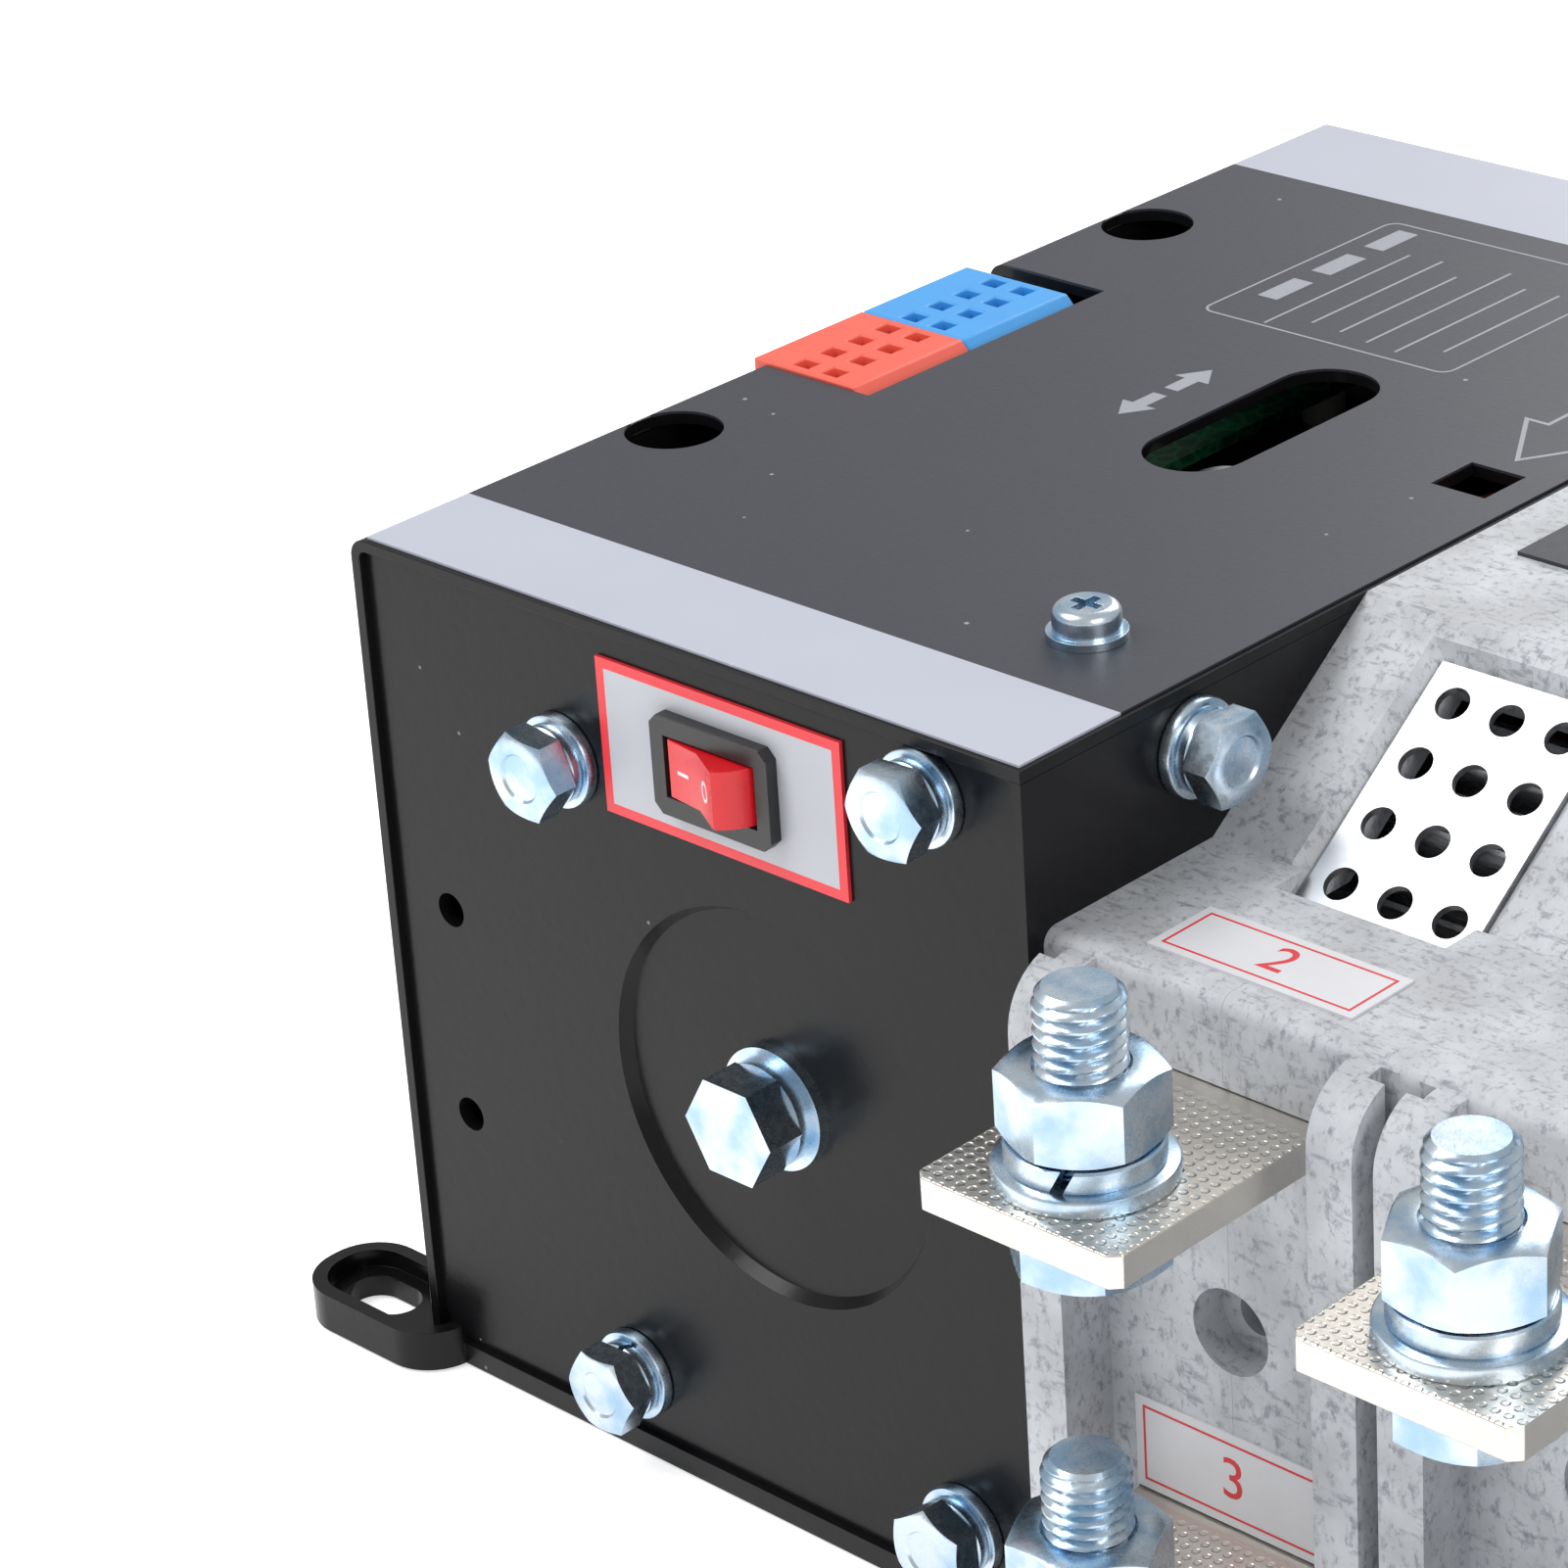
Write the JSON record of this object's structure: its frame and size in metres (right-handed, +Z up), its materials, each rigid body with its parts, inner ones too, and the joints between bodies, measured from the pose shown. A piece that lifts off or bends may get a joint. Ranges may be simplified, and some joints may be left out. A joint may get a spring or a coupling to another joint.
{
  "type": "manual transfer switch",
  "caption": "Low transfer switch: a black steel operator box with a handle slot beside grey moulded poles with studded copper bars, on a slotted base plate.",
  "frame": {"origin": "centre of the four mounting slots, on the underside of the base plate", "axes": "+X along the row from the operator box to the poles, +Y from the front with its load bars to the rear, +Z up off the mounting surface"},
  "size_m": [0.302, 0.2455, 0.1184],
  "materials": {
    "black_enamel": "glossy black powder coat",
    "label_film": "printed film",
    "silver_film": "silver printed film",
    "zinc_plate": "bright zinc plate",
    "black_plastic": "satin black",
    "bare_steel": "machined",
    "white_plastic": "satin",
    "circuit_board": "solder mask",
    "red_plastic": "satin",
    "blue_plastic": "satin",
    "brown_plastic": "moulded phenolic",
    "grey_compound": "moulded glass-filled compound",
    "aluminium_sheet": "brushed",
    "red_fibre": "vulcanised fibre",
    "tinned_copper": "tinned",
    "bare_copper": "machined copper",
    "sintered_bronze": "sintered",
    "coil_wrap": "tape-wrapped winding"
  },
  "bodies": {
    "housing": {"arc_cheeks": "red_fibre", "arc_plates": "bare_steel", "base_plate": "black_enamel", "board_bracket": "bare_steel", "board_standoffs": "white_plastic", "bracket_screws": "zinc_plate", "control_board": "circuit_board", "core_bolt": "zinc_plate", "core_washers": "zinc_plate", "cover_rails": "black_enamel", "cover_screws": "zinc_plate", "end_plate": "black_enamel", "fixed_tips": "bare_copper", "front_panel": "black_enamel", "fuse_sockets": "brown_plastic", "lever_bracket": "bare_steel", "lever_pin": "bare_steel", "limit_switches": "black_plastic", "load_terminals": "tinned_copper", "mode_plate": "silver_film", "number_stickers": "silver_film", "panel_bolts": "zinc_plate", "panel_washers": "zinc_plate", "plug_header": "white_plastic", "pole_1_shells": "grey_compound", "pole_2_shells": "grey_compound", "pole_3_shells": "grey_compound", "pole_plate": "silver_film", "rear_panel": "black_enamel", "return_spring": "bare_steel", "rocker_bezel": "black_plastic", "shaft_bearings": "sintered_bronze", "side_plate": "black_enamel", "solenoid_bobbin": "white_plastic", "solenoid_coil": "coil_wrap", "solenoid_core": "bare_steel", "solenoid_yoke": "bare_steel", "supply_terminals": "tinned_copper", "terminal_bolts": "zinc_plate", "terminal_flat_washers": "zinc_plate", "terminal_nuts": "zinc_plate", "terminal_spring_washers": "zinc_plate", "tie_nuts": "zinc_plate", "tie_rods": "zinc_plate", "top_cover": "black_enamel", "top_label": "label_film", "vent_plates": "aluminium_sheet"},
    "shaft": {"main_shaft": "bare_steel", "fork_arm": "bare_steel", "position_indicator": "red_plastic", "contact_carriers": "brown_plastic", "moving_contacts": "bare_copper"},
    "lever": {"operating_lever": "bare_steel", "drive_pin": "bare_steel"},
    "plunger": {"plunger": "bare_steel"},
    "rocker": {"rocker_button": "red_plastic"},
    "red_plug": {"red_plug": "red_plastic"},
    "blue_plug": {"blue_plug": "blue_plastic"},
    "front_fuse": {"front_fuse_carrier": "black_plastic"},
    "rear_fuse": {"rear_fuse_carrier": "black_plastic"}
  },
  "joints": [
    {"name": "main_shaft_turn", "type": "hinge", "parent": "housing", "child": "shaft", "pos_m": [0, 0, 0.04], "axis": [1, 0, 0], "range_deg": [0, 35.76]},
    {"name": "lever_tilt", "type": "hinge", "parent": "housing", "child": "lever", "pos_m": [-0.0643, 0, 0.08], "axis": [1, 0, 0], "range_deg": [-40, 0]},
    {"name": "plunger_slide", "type": "slide", "parent": "housing", "child": "plunger", "axis": [0, -1, 0], "range_m": [0, 0.01369], "deforming": ["return_spring"]},
    {"name": "rocker_tilt", "type": "hinge", "parent": "housing", "child": "rocker", "pos_m": [-0.069, -0.09, 0.0995], "axis": [0, 0, 1], "range_deg": [0, 36]},
    {"name": "red_plug_pull", "type": "slide", "parent": "housing", "child": "red_plug", "axis": [0, 0, 1], "range_m": [0, 0.012]},
    {"name": "blue_plug_pull", "type": "slide", "parent": "housing", "child": "blue_plug", "axis": [0, 0, 1], "range_m": [0, 0.012]},
    {"name": "front_fuse_pull", "type": "slide", "parent": "housing", "child": "front_fuse", "axis": [0, 0, 1], "range_m": [0, 0.02]},
    {"name": "rear_fuse_pull", "type": "slide", "parent": "housing", "child": "rear_fuse", "axis": [0, 0, 1], "range_m": [0, 0.02]}
  ],
  "couplings": [
    {"joint": "lever_tilt", "follows": "main_shaft_turn", "ratio": -1.1186},
    {"joint": "plunger_slide", "follows": "main_shaft_turn", "m_per_rad": 0.02192}
  ]
}
